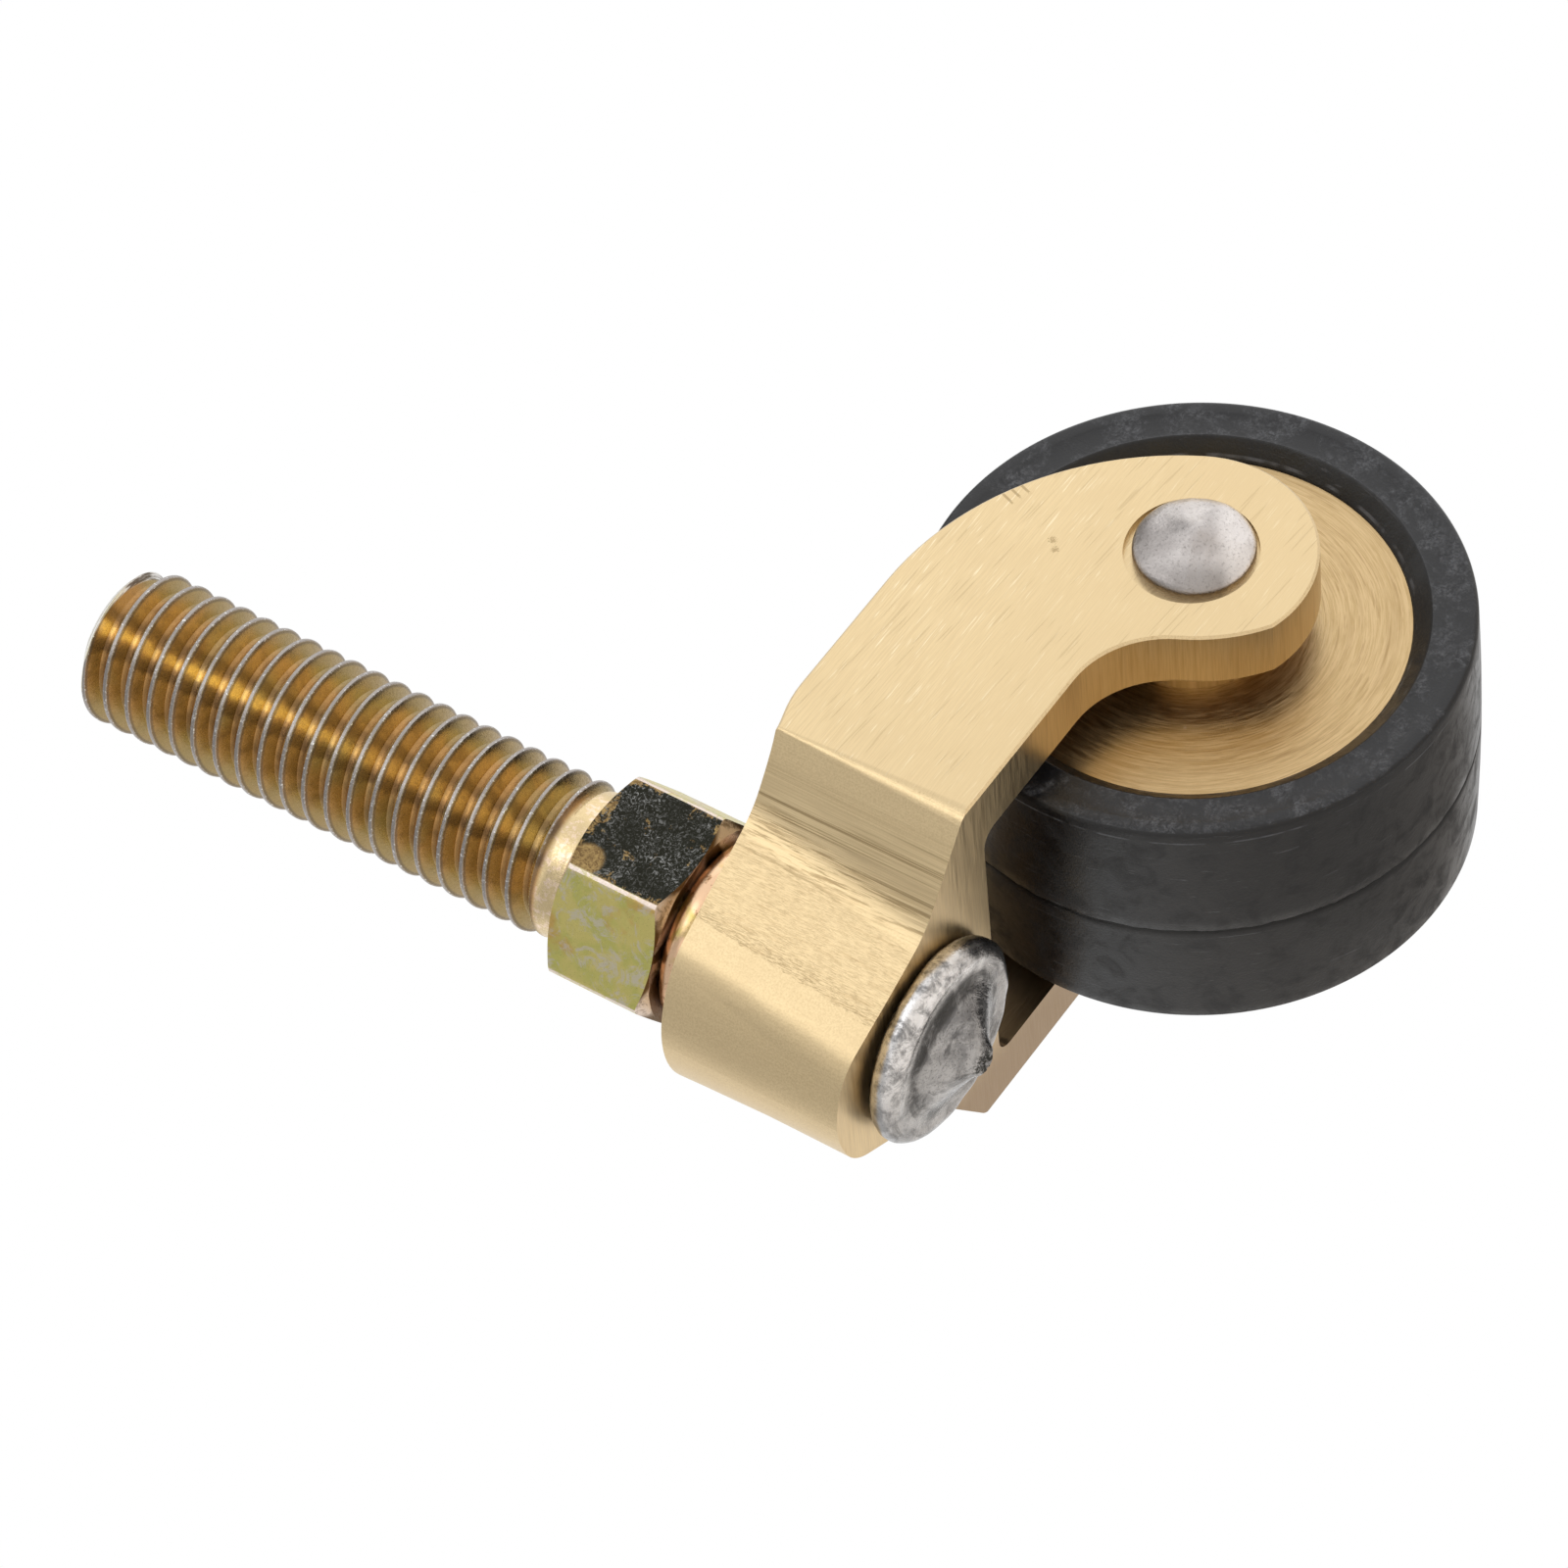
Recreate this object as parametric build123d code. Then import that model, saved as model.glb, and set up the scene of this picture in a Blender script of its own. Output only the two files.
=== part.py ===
from build123d import *
import math
import os

# A swivel castor with a threaded stem, in millimetres and degrees.
# The stem's axis is Z, and z = 0 is where its thread begins, above the neck.
# The fork's round nose points along +X, the wheel trails along -X, and its axle lies along Y.

# Stem
thread_length = 26.4
thread_radius = 3.93
thread_end_radius = 3.25
neck_radius = 3.7
neck_height = 1.45
hexagon_across_flats = 9.75
hexagon_height = 5.55
hexagon_turn = 56.0
hexagon_corner_radius = 0.35
hexagon_chamfer_angle = 30.0
swivel_pin_radius = 3.0
head_rim_radius = 4.35
head_rim_round = 0.75
head_depth = 3.3
head_tip_radius = 0.45
head_hollow = 0.25
head_hollow_place = 0.7
head_rim_start = -10.0
head_rim_end = -110.0

# Swivel washer
washer_radius = 4.7
washer_thickness = 1.85

# Fork
fork_width = 22.2
cheek_thickness = 3.05
block_height = 9.82
cheek_rise = 0.6
rise_start = -3.0
rise_length = 4.0
slot_front = -5.55
slot_corner_radius = 0.9
eye_radius = 5.8
horn_radius = 15.0
eye_end_angle = 289.4
ogee_centre_x = -13.3
ogee_radius = 4.8
ogee_turn = 65.0
nose_radius = 6.62
nose_corner_radius = 3.0
underside_flat_end = -4.2
underside_lift = 0.4
shoulder_x = -4.2
shoulder_angle = 52.8
flank_angle = 26.0
flank_distance_top = 6.3
flank_distance_foot = 5.5
flank_bend_radius = 4.5
edge_break_top = 0.22
edge_break_bottom = 1.12
burr_chamfer = 0.12
axle_recess_radius = 3.12
axle_recess_depth = 0.35

# Wheel
trail = 22.3
axle_drop = 10.41
axle_radius = 2.0
tread_radius = 13.3
tread_crown = 0.3
tyre_width = 13.5
tyre_edge_round = 0.4
tyre_foot_width = 7.6
tyre_foot_depth = 1.3
disc_radius = 9.97
disc_width = 11.84
disc_crown = 0.25
tyre_lip = 0.85
hub_radius = 4.0

# Axle rivet
rivet_head_radius = 2.85
rivet_head_shift = -0.23
rivet_head_height = 1.35
rivet_head_edge = 0.3
rivet_tip_radius = 0.3

# Clearances
swivel_play = 0.05
swivel_bore_clearance = 0.05
washer_bore_clearance = 0.05
axle_bore_clearance = 0.05
axle_hole_clearance = 0.02
hub_side_clearance = 0.1

# Places that follow from the sizes
hexagon_top = -neck_height
hexagon_bottom = hexagon_top - hexagon_height
washer_bottom = hexagon_bottom - washer_thickness
fork_top = washer_bottom - swivel_play
fork_bottom = fork_top - block_height
head_seat = fork_bottom - swivel_play
cheek_top = fork_top + cheek_rise
cheek_outside = fork_width / 2
cheek_inside = cheek_outside - cheek_thickness
axle_x = -trail
axle_z = fork_top - axle_drop
tread_edge_radius = tread_radius - tread_crown
past = 20.0  # how far a cut runs beyond what it cuts
over = 0.1  # the share of the block's height by which a tapered cut runs past each end


def on_circle(centre, radius, angle):
    """The point of a circle at an angle from the first axis."""
    turn = math.radians(angle)
    return (centre[0] + radius * math.cos(turn), centre[1] + radius * math.sin(turn))


def stand(sketch, bottom, top):
    """A sketch of the XY plane as an upright prism between two heights."""
    return extrude(Pos(0, 0, bottom) * sketch, top - bottom)


def spin_about_stem(outline):
    """A solid of revolution about Z from a closed outline of (radius, height)."""
    return revolve(Plane.XZ * make_face(outline), Axis.Z)


def spin_about_axle(outline):
    """A solid of revolution about the axle from a closed outline of (along Y, radius)."""
    plane = Plane(origin=(axle_x, 0, axle_z), x_dir=(0, 1, 0), z_dir=(1, 0, 0))
    return revolve(plane * make_face(outline), Axis((axle_x, 0, axle_z), (0, 1, 0)))


def thread_and_neck():
    """The stud as a plain bar of the thread's outside size, with its end chamfer and neck."""
    chamfer_size = thread_radius - thread_end_radius
    outline = Polyline(
        (0, hexagon_top),
        (neck_radius, hexagon_top),
        (neck_radius, 0),
        (thread_radius, 0),
        (thread_radius, thread_length - chamfer_size),
        (thread_end_radius, thread_length),
        (0, thread_length),
        close=True,
    )
    return spin_about_stem(outline)


def hexagon():
    """The spanner hexagon, with rounded corners and a turned chamfer at each end."""
    outline = RegularPolygon(hexagon_across_flats / 2, 6, major_radius=False, rotation=hexagon_turn)
    outline = fillet(outline.vertices(), hexagon_corner_radius)
    prism = stand(outline, hexagon_bottom, hexagon_top)
    face_radius = hexagon_across_flats / 2
    corner_radius = face_radius / math.cos(math.radians(30))
    drop = (corner_radius - face_radius) * math.tan(math.radians(hexagon_chamfer_angle))
    turned = Polyline(
        (0, hexagon_bottom),
        (face_radius, hexagon_bottom),
        (corner_radius, hexagon_bottom + drop),
        (corner_radius, hexagon_top - drop),
        (face_radius, hexagon_top),
        (0, hexagon_top),
        close=True,
    )
    return prism & spin_about_stem(turned)


def swivel_pin_and_head():
    """The plain pin that the fork turns on, and the head that was riveted under it."""
    rim_centre = (head_rim_radius, head_seat - head_rim_round)
    tip = head_seat - head_depth
    under_rim = on_circle(rim_centre, head_rim_round, head_rim_end)
    outline = [
        Line((0, hexagon_bottom), (swivel_pin_radius, hexagon_bottom)),
        Line((swivel_pin_radius, hexagon_bottom), (swivel_pin_radius, head_seat)),
        Line((swivel_pin_radius, head_seat), (head_rim_radius, head_seat)),
        ThreePointArc(
            (head_rim_radius, head_seat),
            on_circle(rim_centre, head_rim_round, head_rim_start),
            under_rim,
        ),
        Bezier(
            under_rim,
            (head_rim_radius * head_hollow_place, under_rim[1] + head_hollow),
            (head_tip_radius, tip),
        ),
        Line((head_tip_radius, tip), (0, tip)),
        Line((0, tip), (0, hexagon_bottom)),
    ]
    return spin_about_stem(outline)


def make_stem():
    """One turned piece: stud, neck, hexagon, swivel pin and riveted head."""
    return thread_and_neck() + hexagon() + swivel_pin_and_head()


def make_swivel_washer():
    """The thick ring between the hexagon and the fork, with a full round edge."""
    bore = swivel_pin_radius + washer_bore_clearance
    edge = washer_thickness / 2
    middle = washer_bottom + edge
    outline = [
        Line((bore, washer_bottom), (washer_radius - edge, washer_bottom)),
        ThreePointArc(
            (washer_radius - edge, washer_bottom),
            (washer_radius, middle),
            (washer_radius - edge, hexagon_bottom),
        ),
        Line((washer_radius - edge, hexagon_bottom), (bore, hexagon_bottom)),
        Line((bore, hexagon_bottom), (bore, washer_bottom)),
    ]
    return spin_about_stem(outline)


def cheek_side():
    """The fork from the side: flat back, horn, round eye, and the S-curve under the block."""
    eye = (axle_x, axle_z)
    horn_centre_z = cheek_top - horn_radius
    reach = math.sqrt((horn_radius - eye_radius) ** 2 - (horn_centre_z - axle_z) ** 2)
    horn_centre = (axle_x + reach, horn_centre_z)
    horn_angle = math.degrees(math.atan2(axle_z - horn_centre_z, -reach))
    horn_end = on_circle(eye, eye_radius, horn_angle)
    eye_end = on_circle(eye, eye_radius, eye_end_angle)
    ogee_centre = (ogee_centre_x, fork_bottom - ogee_radius)
    ogee_start = on_circle(ogee_centre, ogee_radius, 90 + ogee_turn)
    ogee_heading = on_circle((0, 0), 1, 180 + ogee_turn)
    front = nose_radius + 1
    front_lift = underside_lift * (front - underside_flat_end) / (nose_radius - underside_flat_end)
    rise_end = rise_start - rise_length
    rise_middle = (rise_start - rise_length / 2, fork_top + cheek_rise / 2)
    outline = [
        Line((front, fork_top), (rise_start, fork_top)),
        TangentArc((rise_start, fork_top), rise_middle, tangent=(-1, 0)),
        TangentArc((rise_end, cheek_top), rise_middle, tangent=(1, 0)),
        Line((rise_end, cheek_top), (horn_centre[0], cheek_top)),
        ThreePointArc(
            (horn_centre[0], cheek_top),
            on_circle(horn_centre, horn_radius, (90 + horn_angle) / 2),
            horn_end,
        ),
        ThreePointArc(
            horn_end,
            on_circle(eye, eye_radius, (horn_angle + eye_end_angle) / 2),
            eye_end,
        ),
        TangentArc(ogee_start, eye_end, tangent=ogee_heading),
        ThreePointArc(
            ogee_start,
            on_circle(ogee_centre, ogee_radius, 90 + ogee_turn / 2),
            (ogee_centre_x, fork_bottom),
        ),
        Line((ogee_centre_x, fork_bottom), (underside_flat_end, fork_bottom)),
        TangentArc(
            (underside_flat_end, fork_bottom),
            (front, fork_bottom + front_lift),
            tangent=(1, 0),
        ),
        Line((front, fork_bottom + front_lift), (front, fork_top)),
    ]
    return Plane.XZ * make_face(outline)


def side_waste(flank_distance):
    """What is cut from the +Y side of the block in plan: shoulder, hollow bend, flank and nose."""
    shoulder = (shoulder_x, cheek_outside)
    facing = 90 - flank_angle
    normal = on_circle((0, 0), 1, facing)
    down_shoulder = on_circle((0, 0), 1, -shoulder_angle)
    height_over_flank = normal[0] * shoulder[0] + normal[1] * shoulder[1] - flank_distance
    descent = normal[0] * down_shoulder[0] + normal[1] * down_shoulder[1]
    bend_corner = on_circle(shoulder, -height_over_flank / descent, -shoulder_angle)
    setback = flank_bend_radius * math.tan(math.radians(shoulder_angle - flank_angle) / 2)
    bend_start = on_circle(bend_corner, -setback, -shoulder_angle)
    bend_end = on_circle(bend_corner, setback, -flank_angle)
    bend_centre = on_circle(bend_start, flank_bend_radius, 90 - shoulder_angle)
    bend_middle = on_circle(bend_centre, -flank_bend_radius, 90 - (shoulder_angle + flank_angle) / 2)
    reach = nose_radius - nose_corner_radius
    corner_turn = math.degrees(math.acos((flank_distance - nose_corner_radius) / reach))
    joint_angle = facing - corner_turn
    corner_centre = on_circle((0, 0), reach, joint_angle)
    corner_start = on_circle(corner_centre, nose_corner_radius, facing)
    corner_middle = on_circle(corner_centre, nose_corner_radius, facing - corner_turn / 2)
    joint = on_circle((0, 0), nose_radius, joint_angle)
    outer = on_circle(shoulder, -past, -shoulder_angle)
    outline = [
        Line(outer, bend_start),
        ThreePointArc(bend_start, bend_middle, bend_end),
        Line(bend_end, corner_start),
        ThreePointArc(corner_start, corner_middle, joint),
        ThreePointArc(joint, on_circle((0, 0), nose_radius, joint_angle / 2), (nose_radius, 0)),
        Line((nose_radius, 0), (past, 0)),
        Line((past, 0), (past, outer[1])),
        Line((past, outer[1]), outer),
    ]
    return make_face(outline)


def side_cut():
    """The solid that leaves the shoulder, bend, flank and nose on +Y, narrower at the foot."""
    growth = flank_distance_foot - flank_distance_top
    above = Pos(0, 0, fork_top) * side_waste(flank_distance_top)
    below = side_waste(flank_distance_foot + over * growth)
    below = Pos(0, 0, fork_bottom - over * block_height) * below
    return loft([above, below], ruled=True) + extrude(above, 2 * cheek_rise, dir=(0, 0, 1))


def edge_break_waste(radius):
    """What a round of one radius takes from the shoulder's corner in plan."""
    half_turn = math.radians(shoulder_angle / 2)
    setback = radius * math.tan(half_turn)
    on_cheek = (shoulder_x - setback, cheek_outside)
    on_front = on_circle((shoulder_x, cheek_outside), setback, -shoulder_angle)
    centre = (on_cheek[0], cheek_outside - radius)
    middle = on_circle(centre, radius, 90 - shoulder_angle / 2)
    outward = on_circle((0, 0), 1, 90 - shoulder_angle)
    outline = [
        ThreePointArc(on_cheek, middle, on_front),
        Line(on_front, (on_front[0] + outward[0], on_front[1] + outward[1])),
        Line(
            (on_front[0] + outward[0], on_front[1] + outward[1]),
            (on_front[0] + outward[0], cheek_outside + 1),
        ),
        Line((on_front[0] + outward[0], cheek_outside + 1), (on_cheek[0], cheek_outside + 1)),
        Line((on_cheek[0], cheek_outside + 1), on_cheek),
    ]
    return make_face(outline)


def edge_break():
    """The round on the shoulder's edge, which widens from the top of the block to its foot."""
    growth = edge_break_bottom - edge_break_top
    above = Pos(0, 0, fork_top + over * block_height) * edge_break_waste(edge_break_top - over * growth)
    below = Pos(0, 0, fork_bottom - over * block_height) * edge_break_waste(edge_break_bottom + over * growth)
    return loft([above, below], ruled=True)


def make_fork():
    """The brass fork: a block on the swivel pin, a round nose, and two cheeks with eyes."""
    body = extrude(cheek_side(), cheek_outside, both=True)
    sides = body.faces().filter_by(Axis.Y)
    body = chamfer(sides.edges(), burr_chamfer)
    for cut in (side_cut(), edge_break()):
        body -= cut
        body -= mirror(cut, Plane.XZ)
    slot_length = past + trail
    slot = Pos(slot_front - slot_length / 2, 0) * Rectangle(slot_length, 2 * cheek_inside)
    slot = fillet(slot.vertices().group_by(Axis.X)[-1], slot_corner_radius)
    body -= stand(slot, fork_bottom - past, fork_top + past)
    bore = swivel_pin_radius + swivel_bore_clearance
    body -= stand(Circle(bore), fork_bottom - past, fork_top + past)
    body -= stand(Circle(washer_radius + swivel_play), fork_top, fork_top + past)
    axle_hole = Cylinder(axle_radius + axle_hole_clearance, 2 * fork_width, rotation=(90, 0, 0))
    body -= Pos(axle_x, 0, axle_z) * axle_hole
    recess = Cylinder(axle_recess_radius, 2 * axle_recess_depth, rotation=(90, 0, 0))
    for side in (-1, 1):
        body -= Pos(axle_x, side * cheek_outside, axle_z) * recess
    return body


def rivet_head(side):
    """One formed head of the axle rivet, a low dome seated in the cheek's recess."""
    seat = cheek_outside - axle_recess_depth
    edge = cheek_outside + rivet_head_edge
    tip = cheek_outside + rivet_head_height
    outline = [
        Line((0, 0), (0, rivet_head_radius)),
        Line((0, rivet_head_radius), (edge - seat, rivet_head_radius)),
        Bezier(
            (edge - seat, rivet_head_radius),
            (edge - seat + rivet_head_edge, rivet_head_radius),
            (tip - seat, rivet_head_radius / 2),
            (tip - seat, rivet_tip_radius),
        ),
        Line((tip - seat, rivet_tip_radius), (tip - seat, 0)),
        Line((tip - seat, 0), (0, 0)),
    ]
    plane = Plane(
        origin=(axle_x + rivet_head_shift, side * seat, axle_z),
        x_dir=(0, side, 0),
        z_dir=(1, 0, 0),
    )
    axis = Axis((axle_x + rivet_head_shift, 0, axle_z), (0, 1, 0))
    return revolve(plane * make_face(outline), axis)


def make_axle_rivet():
    """The steel pin through both cheeks and the wheel, with a head at each end."""
    seat = cheek_outside - axle_recess_depth
    pin = Pos(axle_x, 0, axle_z) * Cylinder(axle_radius, 2 * seat, rotation=(90, 0, 0))
    return pin + rivet_head(1) + rivet_head(-1)


def make_wheel_centre():
    """The brass disc and its hub, with a channel round the rim that keys the tyre."""
    bore = axle_radius + axle_bore_clearance
    hub_end = cheek_inside - hub_side_clearance
    rim_face = disc_width / 2
    hub_face = rim_face + disc_crown
    channel = tyre_foot_width / 2
    channel_radius = disc_radius - tyre_foot_depth
    half = [
        (hub_end, bore),
        (hub_end, hub_radius),
        (hub_face, hub_radius),
        (rim_face, disc_radius),
        (channel, disc_radius),
        (channel, channel_radius),
    ]
    other_half = [(-y, radius) for y, radius in reversed(half)]
    return spin_about_axle(Polyline(*half, *other_half, close=True))


def make_tyre():
    """The rubber tyre: crowned tread, flat sides, a lip down to the disc, and a keyed foot."""
    side = tyre_width / 2
    rim_face = disc_width / 2
    foot = tyre_foot_width / 2
    foot_radius = disc_radius - tyre_foot_depth
    lip_radius = disc_radius + tyre_lip
    tread_side = side - tyre_edge_round
    edge_radius = tread_edge_radius - tyre_edge_round
    edge_middle = on_circle((tread_side, edge_radius), tyre_edge_round, 45)
    outline = [
        ThreePointArc((-tread_side, tread_edge_radius), (0, tread_radius), (tread_side, tread_edge_radius)),
        ThreePointArc((tread_side, tread_edge_radius), edge_middle, (side, edge_radius)),
        ThreePointArc(
            (-tread_side, tread_edge_radius), (-edge_middle[0], edge_middle[1]), (-side, edge_radius)
        ),
    ]
    half = [
        (side, edge_radius),
        (side, lip_radius),
        (rim_face, disc_radius),
        (foot, disc_radius),
        (foot, foot_radius),
    ]
    other_half = [(-y, radius) for y, radius in reversed(half)]
    outline.extend(Polyline(*half, *other_half).edges())
    return spin_about_axle(outline)


os.makedirs("parts", exist_ok=True)
pieces = {
    "stem": make_stem(),
    "swivel_washer": make_swivel_washer(),
    "fork": make_fork(),
    "axle_rivet": make_axle_rivet(),
    "wheel_centre": make_wheel_centre(),
    "tyre": make_tyre(),
}
for name, piece in pieces.items():
    export_step(piece, f"parts/{name}.step")
    print(name, round(piece.volume, 1))
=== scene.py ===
import bpy
import bmesh
import math
from mathutils import Matrix, Vector, noise


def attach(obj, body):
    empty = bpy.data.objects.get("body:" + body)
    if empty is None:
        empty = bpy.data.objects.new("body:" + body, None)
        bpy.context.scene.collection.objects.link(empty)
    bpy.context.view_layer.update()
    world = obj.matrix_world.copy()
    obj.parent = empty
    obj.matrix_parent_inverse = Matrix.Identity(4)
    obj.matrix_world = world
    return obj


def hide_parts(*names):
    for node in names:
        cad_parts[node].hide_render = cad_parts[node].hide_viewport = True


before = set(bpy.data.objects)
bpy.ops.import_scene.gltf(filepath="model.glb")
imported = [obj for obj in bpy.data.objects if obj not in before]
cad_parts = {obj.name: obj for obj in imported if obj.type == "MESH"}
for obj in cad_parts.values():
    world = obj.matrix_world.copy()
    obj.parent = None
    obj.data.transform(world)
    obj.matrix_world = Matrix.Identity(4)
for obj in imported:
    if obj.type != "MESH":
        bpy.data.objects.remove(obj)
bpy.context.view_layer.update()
print("frame loaded")

mm = 0.001  # the dictionaries below are in millimetres, apart from the camera, lamps and floor


# small helpers for nodes

def put(tree, kind, sockets=None, **settings):
    # one node, with its settings, and values or links for its sockets
    made = tree.nodes.new("ShaderNode" + kind)
    for key, value in settings.items():
        setattr(made, key, value)
    for socket, value in (sockets or {}).items():
        if isinstance(value, bpy.types.NodeSocket):
            tree.links.new(value, made.inputs[socket])
        else:
            made.inputs[socket].default_value = value
    return made


def calc(tree, operation, *values, clamp=False):
    return put(tree, "Math", dict(enumerate(values)), operation=operation, use_clamp=clamp).outputs[0]


def times(tree, first, *others):
    for other in others:
        first = calc(tree, "MULTIPLY", first, other)
    return first


def scaledOnto(tree, value, amount, base):
    return calc(tree, "MULTIPLY_ADD", value, amount, base)


def opposite(tree, value):
    return calc(tree, "SUBTRACT", 1.0, value)


def gapTo(tree, value, centre):
    return calc(tree, "ABSOLUTE", calc(tree, "SUBTRACT", value, centre))


def step(tree, value, start, end, low=0.0, high=1.0):
    # a smooth change from low to high as the value goes from start to end
    ramp = {"Value": value, "From Min": start, "From Max": end, "To Min": low, "To Max": high}
    return put(tree, "MapRange", ramp, interpolation_type="SMOOTHSTEP").outputs["Result"]


def vectorCalc(tree, operation, *values, out="Vector"):
    return put(tree, "VectorMath", dict(enumerate(values)), operation=operation).outputs[out]


def stretched(tree, vector, amounts):
    return vectorCalc(tree, "MULTIPLY", vector, amounts)


def joinAxes(tree, x, y, z):
    return put(tree, "CombineXYZ", {0: x, 1: y, 2: z}).outputs[0]


def splitAxes(tree, vector):
    return put(tree, "SeparateXYZ", {0: vector}).outputs


def roundAxis(tree, x, y, z):
    # distance from an axis, and the direction away from it; the axis's own coordinate is given as 0
    flat = joinAxes(tree, x, y, z)
    return vectorCalc(tree, "LENGTH", flat, out="Value"), splitAxes(tree, vectorCalc(tree, "NORMALIZE", flat))


def millimetres(tree, centre=(0, 0, 0)):
    # object coordinates in millimetres, from a centre given in millimetres
    raw = put(tree, "TexCoord").outputs["Object"]
    return vectorCalc(tree, "SUBTRACT", stretched(tree, raw, (1000, 1000, 1000)), centre)


def surfaceNormal(tree):
    return splitAxes(tree, put(tree, "TexCoord").outputs["Normal"])


def cloud(tree, where, scale, detail=3.0, rough=0.55, warp=0.0):
    sockets = {"Vector": where, "Scale": scale, "Detail": detail, "Roughness": rough, "Distortion": warp}
    return put(tree, "TexNoise", sockets).outputs["Fac"]


def turned(tree, vector, angle, centre=(0, 0, 0)):
    sockets = {"Vector": vector, "Center": centre, "Angle": angle}
    return put(tree, "VectorRotate", sockets, rotation_type="Y_AXIS").outputs[0]


def mixValue(tree, amount, first, second):
    return put(tree, "Mix", {0: amount, 2: first, 3: second}).outputs[0]


def mixVector(tree, amount, first, second):
    return put(tree, "Mix", {0: amount, 4: first, 5: second}, data_type="VECTOR").outputs[1]


def mixColour(tree, amount, first, second):
    node = put(tree, "Mix", {0: amount}, data_type="RGBA", clamp_factor=True)
    for place, colour in ((6, first), (7, second)):
        if isinstance(colour, bpy.types.NodeSocket):
            tree.links.new(colour, node.inputs[place])
        else:
            node.inputs[place].default_value = (*colour, 1.0)
    return node.outputs[2]


def newFinish(name, metallic=1.0, roughness=0.35):
    finish = bpy.data.materials.new(name)
    finish.use_nodes = True
    shader = finish.node_tree.nodes["Principled BSDF"]
    shader.inputs["Metallic"].default_value = metallic
    shader.inputs["Roughness"].default_value = roughness
    return finish, finish.node_tree, shader


def wire(tree, shader, colour, height, strength, depth, roughness=None):
    # colour, relief (its depth in millimetres) and, where it varies, roughness
    tree.links.new(colour, shader.inputs["Base Color"])
    relief = put(tree, "Bump", {"Height": height, "Strength": strength, "Distance": depth * mm})
    tree.links.new(relief.outputs["Normal"], shader.inputs["Normal"])
    if roughness:
        tree.links.new(roughness, shader.inputs["Roughness"])


# camera, lamps, boards and floor, in metres

cameraSetup = {
    "place": (0.1586149, 0.2643176, -0.138778),
    "right": (-0.55361681, -0.0687149, -0.82993174),
    "up": (-0.67197272, 0.62551887, 0.39645782),
    "back": (0.4918954, 0.7771772, -0.3924723),
    "lens": 169.1,
    "sensor": 36.0,
    "clipStart": 0.01,
}

lampSetup = {
    "aim": (-0.010, 0.0, -0.006),
    "roomFill": 0.55,  # the white room's level for what isn't seen or mirrored
    # direction as seen in the picture (right, up, near), distance, size, watts
    "lamps": {
        "keyBox": ((-0.64, 0.30, 0.70), 0.60, 0.34, 0.34),
        "sideBox": ((0.96, -0.12, 0.22), 0.60, 0.20, 0.34),
        "topStrip": ((0.10, 0.95, -0.10), 0.60, 0.60, 0.36),
    },
}

# grey boards round the table, which only reflections show: direction, distance, width, height, level
boardSetup = {
    "noseBoard": ((-0.79, -0.03, 0.61), 0.50, 0.60, 0.10, 0.38),
    "lowerBoard": ((-0.82, -0.56, 0.12), 0.50, 0.60, 0.66, 0.55),
    "backBoard": ((-0.52, 0.76, -0.40), 0.50, 0.40, 0.26, 0.35),
}

floorSetup = {
    "height": -0.03265,  # just under the tyre
    "size": 1.4,
    "colour": (0.86, 0.86, 0.85, 1.0),
    "roughness": 0.7,
    "specular": 0.2,
    "fadeFrom": 0.20,
    "fadeTo": 0.60,
    "shine": 0.45,  # how bright the floor is in the metal's reflections
    "shineColour": (1.0, 0.93, 0.86, 1.0),
}


def pictureDirection(side, height, nearness):
    # a direction given as it looks in the picture: right, up and towards the viewer
    parts = zip((side, height, nearness), ("right", "up", "back"))
    return sum((amount * Vector(cameraSetup[axis]) for amount, axis in parts), Vector()).normalized()


def addCamera():
    data = bpy.data.cameras.new("photoCamera")
    data.lens = cameraSetup["lens"]
    data.sensor_width = cameraSetup["sensor"]
    data.clip_start = cameraSetup["clipStart"]
    camera = bpy.data.objects.new("photoCamera", data)
    bpy.context.scene.collection.objects.link(camera)
    turn = Matrix([cameraSetup[axis] for axis in ("right", "up", "back")]).transposed()
    camera.matrix_world = Matrix.Translation(cameraSetup["place"]) @ turn.to_4x4()
    bpy.context.scene.camera = camera


def addLamp(name, direction, distance, size, watts):
    towards = pictureDirection(*direction)
    data = bpy.data.lights.new(name, "AREA")
    data.size = size
    data.energy = watts
    lamp = bpy.data.objects.new(name, data)
    bpy.context.scene.collection.objects.link(lamp)
    lamp.location = Vector(lampSetup["aim"]) + distance * towards
    lamp.rotation_euler = towards.to_track_quat("Z", "Y").to_euler()


def addBoard(name, direction, distance, width, height, level):
    towards = pictureDirection(*direction)
    across = Vector(cameraSetup["up"]).cross(towards).normalized()
    turn = Matrix((across, towards.cross(across), towards)).transposed()
    place = Vector(lampSetup["aim"]) + distance * towards
    bpy.ops.object.select_all(action="DESELECT")
    bpy.ops.mesh.primitive_plane_add(size=1)
    board = bpy.context.object
    board.name = name
    board.matrix_world = Matrix.LocRotScale(place, turn, (width, height, 1))
    finish, tree, shader = newFinish(name)
    tree.nodes.remove(shader)
    grey = put(tree, "Emission", {"Strength": level}).outputs[0]
    tree.links.new(grey, tree.nodes["Material Output"].inputs["Surface"])
    board.data.materials.append(finish)
    board.visible_camera = board.visible_diffuse = board.visible_shadow = False


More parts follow.
